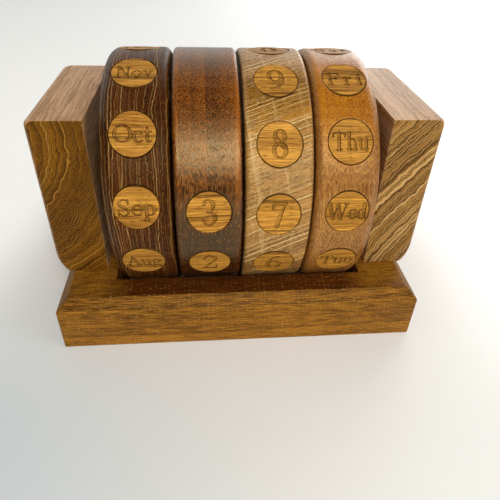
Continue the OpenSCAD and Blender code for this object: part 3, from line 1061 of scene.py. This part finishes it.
@dataclass
class Wheel:
    """A wide wheel with rounded shoulders and a flat-bottomed hole for each plug."""

    node: str
    body: str
    finish: Finish
    labels: dict[str, Label]
    left_shoulder: float
    right_shoulder: float
    bore: float = 9.58
    bore_edge: float = 0.5
    positions: int = 12
    hole_gap: float = 0.25
    hole_edge: float = 0.45
    crowding: float = 1.4
    flank: float = 3.0
    cells: int = 24
    rings: int = 9
    shoulder_steps: int = 13

    def crest(self, x: np.ndarray) -> np.ndarray:
        """Radius of the rim at x from the wheel's middle: R, or R - s + sqrt(s^2 - (|x| - h + s)^2) on a shoulder."""
        shoulder = np.where(x < 0, self.left_shoulder, self.right_shoulder)
        past = np.clip(np.abs(x) - self.half + shoulder, 0, shoulder)
        return self.radius - shoulder + np.sqrt(shoulder ** 2 - past ** 2)

    def on_rim(self, x: np.ndarray, radius: np.ndarray, elevation: np.ndarray) -> np.ndarray:
        """P = (middle + x, -r cos e, axle + r sin e)."""
        return np.stack(np.broadcast_arrays(self.middle + x, -radius * np.cos(elevation),
                                            AXLE_HEIGHT + radius * np.sin(elevation)), axis=-1)

    def make(self) -> list[Piece]:
        """Builds the wheel and its plugs.

        Returns:
            The wheel, then its plugs.
        """
        low, high = box_of(self.node)
        self.middle, self.half = (low[0] + high[0]) / 2, (high[0] - low[0]) / 2
        self.radius = (high[1] - low[1]) / 2
        self.reach = math.pi / self.positions
        plugs = [Plug(node, label, self.body) for node, label in self.labels.items()]
        self.hole, self.floor, start = plugs[0].radius + self.hole_gap, plugs[0].back, plugs[0].elevation
        taken = {round((plug.elevation - start) / self.reach / 2) % self.positions for plug in plugs}
        draft = Draft()
        for position in range(self.positions):
            add_stretch = self.add_hole if position in taken else self.add_blank
            add_stretch(draft, start + 2 * position * self.reach)
        self.add_flanks(draft, start)
        rim = hand_over(draft.build(self.node.replace("wheel", "rim")), self.node, self.body, self.finish)
        return [rim] + [plug.make() for plug in plugs]

    def add_blank(self, draft: Draft, centre: float) -> None:
        """A plain stretch of rim: P(x, e) over the crest between the two flanks.

        Args:
            draft: The wheel's draft.
            centre: Elevation of the stretch's middle.
        """
        span = np.linspace(-1, 1, self.cells + 1)
        x = span[:, None] * (self.half - self.flank)
        draft.add_grid(self.on_rim(x, self.crest(x), centre + span * self.reach))

    def add_hole(self, draft: Draft, centre: float) -> None:
        """A stretch of rim with a plug hole: rings blended from the stretch's border to the hole.

        For each border point at angle a round the plug, (x, e) = (1 - q) hole(a) + q border(a), then
        the hole's edge turns in along a quarter circle, and its wall runs down to a flat floor.

        Args:
            draft: The wheel's draft.
            centre: Elevation of the plug.
        """
        side = np.linspace(-1, 1, self.cells + 1)[:-1]
        end = np.ones_like(side)
        border_x = np.concatenate([side, end, -side, -end]) * (self.half - self.flank)
        border_e = np.concatenate([-end, side, end, -side]) * self.reach
        angle = np.arctan2(border_e * self.radius, border_x)
        wide = self.hole + self.hole_edge
        x, y = wide * np.cos(angle), wide * np.sin(angle)
        crest = self.crest(x)
        q = np.linspace(1, 0, self.rings)[:, None] ** self.crowding
        ring_x = q * border_x + (1 - q) * x
        ring_e = q * border_e + (1 - q) * np.arcsin(y / crest)
        top = np.sqrt(crest ** 2 - y ** 2)
        turn = np.radians(np.linspace(90, 0, BEND_STEPS))[1:, None]
        out = np.concatenate([wide - self.hole_edge * np.cos(turn), [[self.hole]] * 2])
        level = np.concatenate([top - self.hole_edge * (1 - np.sin(turn)),
                                [0.5 * (top - self.hole_edge + self.floor), np.full(len(top), self.floor)]])
        x, y = out * np.cos(angle), out * np.sin(angle)
        grid = np.concatenate([self.on_rim(ring_x, self.crest(ring_x), centre + ring_e),
                               self.on_rim(x, np.hypot(level, y), centre + np.arctan2(y, level))])
        depth = np.clip((np.arange(len(grid)) - len(q) + 1) / 3, 0, 1)
        draft.add_grid(grid, True, np.repeat(depth, grid.shape[1]), caps=(-1,))

    def add_flanks(self, draft: Draft, start: float) -> None:
        """The rest of the wheel: a profile turned round the axle, from one flank of the rim to the other.

        Args:
            draft: The wheel's draft.
            start: Elevation of the first plug.
        """
        edge = self.half - self.flank
        sides = []
        for shoulder, sign in ((self.right_shoulder, 1), (self.left_shoulder, -1)):
            first = math.asin(max(0.0, (edge - self.half + shoulder) / shoulder))
            turn = np.linspace(first, math.pi / 2, self.shoulder_steps)
            low = self.radius - shoulder
            x = np.concatenate([[edge], self.half - shoulder + shoulder * np.sin(turn), [self.half] * 3,
                                [self.half - self.bore_edge]])
            radius = np.concatenate([self.crest(np.array([sign * edge])), low + shoulder * np.cos(turn),
                                     np.linspace(low, self.bore + self.bore_edge, 4)[1:], [self.bore]])
            sides.append(np.stack([sign * x, radius], axis=-1))
        profile = np.concatenate([sides[0], sides[1][::-1]])
        elevation = start + (2 * np.arange(self.positions * self.cells) / self.cells - 1) * self.reach
        draft.add_grid(self.on_rim(profile[:, :1], profile[:, 1:], elevation), closed=True)


# ---------------------------------------------------------------- stand

SCREW_HEAD = 4.2
SHANK_HOLE = 2.2
PAST = 1.0


def rounding(radius: float, past: float) -> float:
    """Inset of a round edge at a distance past its start: r - sqrt(r^2 - past^2), 0 before the start."""
    return radius - math.sqrt(radius ** 2 - min(max(past, 0.0), radius) ** 2)


@dataclass
class BaseBoard:
    """The chamfered board that the wheels sink into."""

    chamfer: float = 6.7
    foot_chamfer: float = 0.6
    land: float = 3.0
    slot_x: float = 79.9
    slot_y: float = 60.69
    corner: float = 1.4
    slot_corner: float = 1.2
    corner_growth: float = 0.2
    ease: float = 0.8
    slot_ease: float = 0.64
    slot_foot_ease: float = 0.5
    foot_eases: tuple[float, float] = (0.2, 0.3)
    screw_hole: float = 4.3
    screw_recess: float = 1.0
    countersink: float = 2.1

    def make(self, screws: list[tuple[float, float]]) -> Piece:
        """Builds the board: rounded rectangles carried along a closed profile of outer side, top, slot and bottom.

        Args:
            screws: X and Y of the screws under the blocks.

        Returns:
            The new piece.
        """
        half_x, half_y, top = box_of("base")[1]
        foot, chamfer, recess = self.foot_chamfer, self.chamfer, self.screw_recess
        outer = eased([(self.slot_corner + foot * 3, 0), (foot, 0), (0, foot), (0, top - chamfer),
                       (chamfer, top), (chamfer + self.land, top)],
                      [0, *self.foot_eases, self.ease, self.ease, 0])
        inner = eased([(self.land, top), (0, top), (0, 0), (self.land, 0)],
                      [0, self.slot_ease, self.slot_foot_ease, 0])
        rings = [rounded_outline(half_x - inset, half_y - inset, (self.corner + inset * self.corner_growth,) * 4, z)
                 for inset, z in outer]
        rings += [rounded_outline(self.slot_x + outset, self.slot_y + outset, (self.slot_corner + outset,) * 4, z)
                  for outset, z in inner]
        draft = Draft()
        draft.add_grid(np.stack([*rings, rings[0]]), closed=True)
        piece = draft.build("base_board")
        for x, y in screws:
            drill(piece, [(self.screw_hole, -PAST), (self.screw_hole, recess),
                          (SHANK_HOLE, recess + self.countersink), (SHANK_HOLE, top + PAST)], (x, y, 0.0))
        return hand_over(piece, "base", "stand", Finish.BASE)


@dataclass
class EndBlock:
    """A thick block of end grain that carries one end of the axle."""

    node: str
    finish: Finish
    side: int
    edge_radius: float = 4.2
    top_round: float = 4.0
    soft_edge: float = 0.5
    tuck_radius: float = 24.0
    tuck_depth: float = 4.2
    hole: float = 9.55
    hole_depth: float = 18.0
    screw_point: float = 6.7
    pilot_tip: float = 0.3
    pilot_gap: float = 0.2
    round_steps: int = 7
    side_steps: int = 9

    def make(self, screws: list[tuple[float, float]]) -> Piece:
        """Builds the block: outlines stacked along Z, each inset near the top and bottom edges.

        A round of radius r that starts at height t insets a face by r - sqrt(r^2 - (t - h)^2). The outer
        face has a wide round below and a smaller one above, and the other faces have a soft edge.

        Args:
            screws: X and Y of the screws under this block.

        Returns:
            The new piece.
        """
        low, high = box_of(self.node)
        inner, outer = sorted((abs(low[0]), abs(high[0])))
        height, wide = high[2] - low[2], self.tuck_radius
        tuck = math.sqrt(wide ** 2 - (wide - self.tuck_depth) ** 2)
        soft, top = self.soft_edge, self.top_round
        turn = np.radians(np.linspace(0, 90, self.round_steps))
        levels = np.unique(np.round(np.concatenate([
            soft * (1 - np.cos(turn)), np.linspace(soft, tuck, self.side_steps),
            np.linspace(tuck, height - top, self.side_steps), height - top + top * np.sin(turn),
            height - soft + soft * np.sin(turn)]), 4))
        rings = []
        for level in levels:
            above = height - level
            inset = max(rounding(soft, soft - level), rounding(soft, soft - above))
            face = outer - max(rounding(wide, tuck - level), rounding(top, top - above))
            near = inner + inset
            radii = (self.edge_radius, soft, soft, self.edge_radius)
            outline = rounded_outline((face - near) / 2, high[1] - inset, radii, low[2] + level, (face + near) / 2)
            rings.append(outline * (self.side, 1, 1))
        draft = Draft()
        draft.add_grid(np.stack(rings), closed=True, caps=(0, -1))
        piece = draft.build(self.node.replace("end_block", "block"))
        bore = [(self.hole, self.side * (inner + depth)) for depth in (-2 * PAST, self.hole_depth)]
        drill(piece, bore, (0.0, 0.0, AXLE_HEIGHT), "X")
        tip = box_of("base_screws")[1][2]
        pilot = [(SHANK_HOLE, low[2] - 2 * PAST), (SHANK_HOLE, tip - self.screw_point),
                 (self.pilot_tip, tip + self.pilot_gap)]
        for x, y in screws:
            drill(piece, pilot, (x, y, 0.0))
        return hand_over(piece, self.node, "stand", self.finish)


def make_stand() -> list[Piece]:
    """Builds the base and the blocks, and gives the stand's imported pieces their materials.

    Returns:
        The new pieces.
    """
    high = box_of("base_screws")[1]
    screws = [(sx * (high[0] - SCREW_HEAD), sy * (high[1] - SCREW_HEAD)) for sx in (-1, 1) for sy in (-1, 1)]
    pieces = [BaseBoard().make(screws)]
    for side, name in ((-1, "left"), (1, "right")):
        block = EndBlock(f"end_block_{name}", Finish[f"BLOCK_{name.upper()}"], side)
        pieces.append(block.make([place for place in screws if place[0] * side > 0]))
    dressed = {Finish.DOWEL: ("axle",), Finish.COLLAR: ("collar_left", "collar_right"),
               Finish.FIBRE: ("washer_left", "washer_middle", "washer_right"), Finish.BRASS: ("base_screws",)}
    for finish, nodes in dressed.items():
        for node in nodes:
            slots = frame["nodes"][node].data.materials
            slots.clear()
            slots.append(finish.value.material())
    return pieces


# ---------------------------------------------------------------- studio

@dataclass(frozen=True)
class View:
    """The photograph's viewpoint, in millimetres and degrees."""

    place: Triple = (-21.6, -303.7, 238.8)
    pitch: float = 36.61
    yaw: float = 6.42
    roll: float = 2.32
    lens: float = 34.6
    sensor: float = 36.0
    nearest: float = 10.0

    def make(self) -> None:
        """Makes the camera: it looks along (sin yaw cos pitch, cos yaw cos pitch, -sin pitch), then rolls."""
        pitch, yaw, roll = map(math.radians, (self.pitch, self.yaw, self.roll))
        forward = Vector((math.sin(yaw) * math.cos(pitch), math.cos(yaw) * math.cos(pitch), -math.sin(pitch)))
        level = Vector((math.cos(yaw), -math.sin(yaw), 0.0))
        above = level.cross(forward)
        right = level * math.cos(roll) + above * math.sin(roll)
        up = above * math.cos(roll) - level * math.sin(roll)
        data = bpy.data.cameras.new("view")
        data.lens, data.sensor_width, data.clip_start = self.lens, self.sensor, self.nearest * MM
        camera = add_object("view", data)
        turn = Matrix((right, up, -forward)).transposed()
        camera.matrix_world = Matrix.Translation(Vector(self.place) * MM) @ turn.to_4x4()
        bpy.context.scene.camera = camera


@dataclass(frozen=True)
class Lamp:
    """A soft rectangular light that faces the calendar."""

    name: str
    place: Triple
    size: tuple[float, float]
    power: float
    shade: Triple
    target: Triple = (0.0, 0.0, 0.08)

    def make(self) -> None:
        """Makes the lamp."""
        data = bpy.data.lights.new(self.name, "AREA")
        data.shape = "RECTANGLE"
        data.size, data.size_y = self.size
        data.energy, data.color = self.power, self.shade
        lamp = add_object(self.name, data)
        lamp.location = self.place
        lamp.rotation_euler = (Vector(self.place) - Vector(self.target)).to_track_quat("Z", "Y").to_euler()


@dataclass(frozen=True)
class Studio:
    """Floor, world and lamps, in metres.

    The world is white behind the calendar, as a reflection too, and dim where a reader would stand.
    """

    ambient: float = 0.27
    front_level: float = 0.05
    wall_front: tuple[float, float] = (0.1, 0.6)
    wall_top: tuple[float, float] = (0.55, 0.95)
    white: tuple[float, ...] = (1.0, 1.0, 0.99, 1.0)
    floor_half: float = 6.0
    floor_roughness: float = 0.6
    cloud_scale: float = 2.2
    floor_dark: tuple[float, ...] = (0.87, 0.87, 0.85, 1.0)
    floor_light: tuple[float, ...] = (0.9, 0.89, 0.86, 1.0)
    # Painted shadow: the floor turns darker and bluish toward a spot to the front left of the calendar.
    floor_near: tuple[float, ...] = (0.68, 0.75, 0.79, 1.0)
    near_middle: Triple = (-0.2, -0.2, 0.0)
    near_fade: tuple[float, float] = (0.02, 0.24)
    # Painted light: a camera-only glow makes the floor whiter toward the back, far off and to the right, and fades
    # out within shadow_fade of the middle so the calendar's shadow stays.
    glow: tuple[float, ...] = (1.0, 0.98, 0.92, 1.0)
    back_glow: float = 0.28
    back_slant: float = 0.1
    back_fade: tuple[float, float] = (-0.16, 0.02)
    far_fade: tuple[float, float] = (0.4, 1.2)
    right_glow: float = 0.1
    right_fade: tuple[float, float] = (-0.05, 0.25)
    shadow_fade: tuple[float, float] = (0.12, 0.22)
    lamps: tuple[Lamp, ...] = (
        Lamp("front", (0.16, -1.21, 1.09), (0.5, 0.86), 17.6, (1.0, 0.97, 0.91)),
        Lamp("window", (0.90, 1.25, 0.55), (1.1, 0.6), 9.0, (0.9, 0.95, 1.0)),
        Lamp("side", (1.45, -0.75, 0.7), (0.9, 0.9), 6.0, (1.0, 0.97, 0.92)),
    )

    def make(self) -> None:
        """Makes the floor, the white surroundings and the lamps."""
        bpy.context.scene.view_settings.view_transform = "Standard"
        self.make_floor()
        self.make_world()
        for lamp in self.lamps:
            lamp.make()

    def make_world(self) -> None:
        """Makes the surroundings: white to the camera, even to diffuse light, and a dim room to a reflection.

        A reflection of direction d meets front + (1 - front) smoothstep(wall front, d.y) (1 - smoothstep(wall
        top, d.z)): a white wall behind the calendar and little else.
        """
        world = bpy.data.worlds.new("surroundings")
        world.use_nodes = True
        bpy.context.scene.world = world
        graph = Graph(world.node_tree)
        camera, glossy, through = graph.node(
            "ShaderNodeLightPath", output=("Is Camera Ray", "Is Glossy Ray", "Is Transmission Ray"))
        _, toward, above = graph.place("Generated").split()
        wall = toward.ramp(*self.wall_front) * (1.0 - above.ramp(*self.wall_top))
        mirrored = wall * (1.0 - self.front_level) + self.front_level
        level = glossy * (mirrored - self.ambient) + self.ambient
        seen = camera.apply("MAXIMUM", through)
        graph.feed(world.node_tree.nodes["Background"], {
            "Strength": level.apply("MAXIMUM", seen), "Color": self.white})

    def make_floor(self) -> None:
        """Makes the pale floor, a flat square below the calendar, with painted light that makes it whiter to the
        camera toward the back, far off and to the right, and a painted bluish shadow to its front left.
        """
        half = self.floor_half
        mesh = bpy.data.meshes.new("floor")
        mesh.from_pydata([(-half, -half, 0), (half, -half, 0), (half, half, 0), (-half, half, 0)], [], [(0, 1, 2, 3)])
        material, graph, shader = new_material("pale_table")
        place = graph.place()
        x, y, _ = place.split()
        # away is the distance from the painted shadow's middle.
        out, away = place.apply("LENGTH"), (place - self.near_middle).apply("LENGTH")
        pale = (place * self.cloud_scale).noise(1.0).mix(self.floor_dark, self.floor_light)
        # Painted light on the floor: back, far and right glow, seen only by the camera and kept off near the
        # calendar.
        far = (y + x * self.back_slant).ramp(*self.back_fade).apply("MAXIMUM", out.ramp(*self.far_fade))
        glow = far * self.back_glow + x.ramp(*self.right_fade) * self.right_glow
        seen = out.ramp(*self.shadow_fade) * graph.node("ShaderNodeLightPath", output="Is Camera Ray")
        graph.feed(shader, {
            "Base Color": away.ramp(*self.near_fade).mix(self.floor_near, pale), "Roughness": self.floor_roughness,
            "Emission Color": self.glow, "Emission Strength": glow * seen})
        mesh.materials.append(material)
        add_object("floor", mesh)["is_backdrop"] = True


# ---------------------------------------------------------------- the calendar

MONTHS = ("jan", "feb", "mar", "apr", "may", "jun", "jul", "aug", "sep", "oct", "nov", "dec")
DAYS = ("sun", "mon", "tue", "wed", "thu", "fri", "sat")
WORD_HEIGHT = 9.3
WORD_LENGTH = 21.0
NUMBER_HEIGHT = 16.0


def word_labels(names: tuple[str, ...]) -> dict[str, Label]:
    """Labels of the plugs that carry a word."""
    return {f"plug_{name}": Label(name.capitalize(), WORD_HEIGHT, WORD_LENGTH) for name in names}


def number_labels(prefix: str, numbers: range) -> dict[str, Label]:
    """Labels of the plugs that carry a number."""
    return {f"plug_{prefix}_{number}": Label(str(number), NUMBER_HEIGHT) for number in numbers}


def main() -> None:
    """Builds the calendar and the studio, and reports each piece."""
    logging.basicConfig(level=logging.INFO, format="%(message)s")
    View().make()
    pieces = make_stand()
    for wheel in (
        Wheel("month_wheel", "months", Finish.MONTH, word_labels(MONTHS), 9.0, 4.5),
        Wheel("tens_wheel", "tens", Finish.TENS, number_labels("ten", range(1, 4)), 2.6, 2.6),
        Wheel("units_wheel", "units", Finish.UNITS, number_labels("unit", range(10)), 2.6, 2.6),
        Wheel("weekday_wheel", "weekdays", Finish.WEEKDAY, word_labels(DAYS), 4.5, 9.0),
    ):
        pieces += wheel.make()
    Studio().make()
    for piece in pieces:
        LOG.info("%s: %d faces", piece.name, len(piece.data.polygons))
    boxes = {"cad": CAD_BOX, "visual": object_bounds()}


if __name__ == "__main__":
    main()
